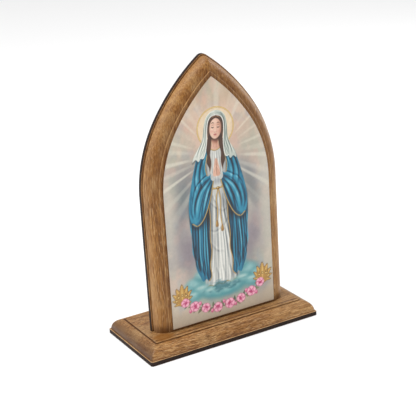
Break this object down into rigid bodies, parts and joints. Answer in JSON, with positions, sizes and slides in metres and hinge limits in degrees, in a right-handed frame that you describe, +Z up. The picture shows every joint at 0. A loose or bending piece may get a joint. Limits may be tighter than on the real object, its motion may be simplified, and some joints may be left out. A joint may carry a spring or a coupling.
{
  "type": "wooden devotional shrine",
  "caption": "Pointed-arch wooden board with a moulded edge and a printed picture panel, standing upright on a moulded rectangular base for a shelf or table.",
  "frame": {"origin": "middle of the base's underside", "axes": "+X to the right of someone who faces the picture, +Y towards the back, +Z up; the picture faces -Y"},
  "size_m": [0.17, 0.084, 0.2496],
  "materials": {
    "varnished_wood": "satin varnish over open-grained brown wood, with the outer edges stained nearly black",
    "printed_panel": "colour print on a thin board, satin, with dark cut edges"
  },
  "bodies": {
    "root": {"base": "varnished_wood", "arch_board": "varnished_wood", "picture_panel": "printed_panel"}
  },
  "joints": []
}
